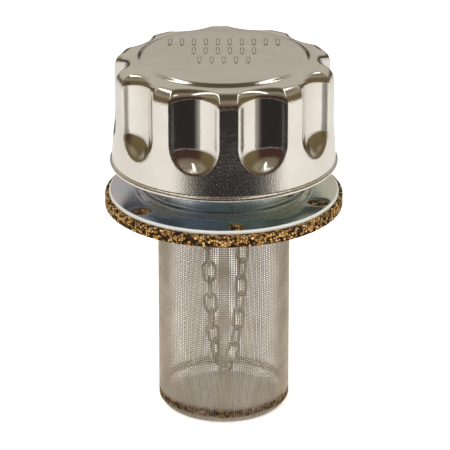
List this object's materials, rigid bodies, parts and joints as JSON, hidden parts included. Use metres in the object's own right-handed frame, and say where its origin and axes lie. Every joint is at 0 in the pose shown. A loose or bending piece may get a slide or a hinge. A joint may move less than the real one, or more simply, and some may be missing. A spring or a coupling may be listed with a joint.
{
  "type": "hydraulic filler breather",
  "caption": "Fluted chrome bayonet cap with air filter on a flanged filler neck, cork gaskets, a woven strainer basket and a keeper chain for a hydraulic tank.",
  "frame": {"origin": "centre of the screw circle on the underside of the lower cork gasket, which lies on the tank", "axes": "+Z along the neck, up towards the cap; -Y is the front, where the basket's lapped seam is"},
  "size_m": [0.086, 0.086, 0.1353],
  "materials": {
    "cap_chrome": "bright",
    "zinc_plate": "satin",
    "cork": "matte",
    "gauze": "satin",
    "chain_steel": "bright",
    "inner_steel": "satin",
    "filter_paper": "matte",
    "seal_rubber": "matte"
  },
  "bodies": {
    "neck": {"flange_plate": "zinc_plate", "gasket_lower": "cork", "gasket_upper": "cork", "filler_neck": "zinc_plate", "chain_anchor": "inner_steel", "basket_rim": "inner_steel", "basket_side": "gauze", "basket_bottom": "gauze", "chain_link_14": "chain_steel", "chain_link_15": "chain_steel", "chain_link_16": "chain_steel", "chain_link_17": "chain_steel", "chain_link_18": "chain_steel", "chain_link_19": "chain_steel", "chain_link_20": "chain_steel", "chain_link_21": "chain_steel", "chain_link_22": "chain_steel", "chain_link_23": "chain_steel", "chain_link_24": "chain_steel", "chain_link_25": "chain_steel", "chain_link_26": "chain_steel"},
    "tether": {"chain_swivel": "inner_steel", "chain_link_01": "chain_steel", "chain_link_02": "chain_steel", "chain_link_03": "chain_steel", "chain_link_04": "chain_steel", "chain_link_05": "chain_steel", "chain_link_06": "chain_steel", "chain_link_07": "chain_steel", "chain_link_08": "chain_steel", "chain_link_09": "chain_steel", "chain_link_10": "chain_steel", "chain_link_11": "chain_steel", "chain_link_12": "chain_steel", "chain_link_13": "chain_steel"},
    "cap": {"cap_shell": "cap_chrome", "inner_cup": "inner_steel", "cap_seal": "seal_rubber", "air_filter_element": "filter_paper", "element_retainer": "inner_steel", "locking_plate": "inner_steel", "centre_bush": "inner_steel", "centre_rivet": "inner_steel", "spacer_washer": "inner_steel"}
  },
  "joints": [
    {"name": "cap_lift", "type": "slide", "parent": "neck", "child": "tether", "axis": [0, 0, 1], "range_m": [0, 0.06]},
    {"name": "cap_turn", "type": "hinge", "parent": "tether", "child": "cap", "pos_m": [0, 0, 0.02], "axis": [0, 0, 1], "range_deg": [-55, 0]}
  ]
}
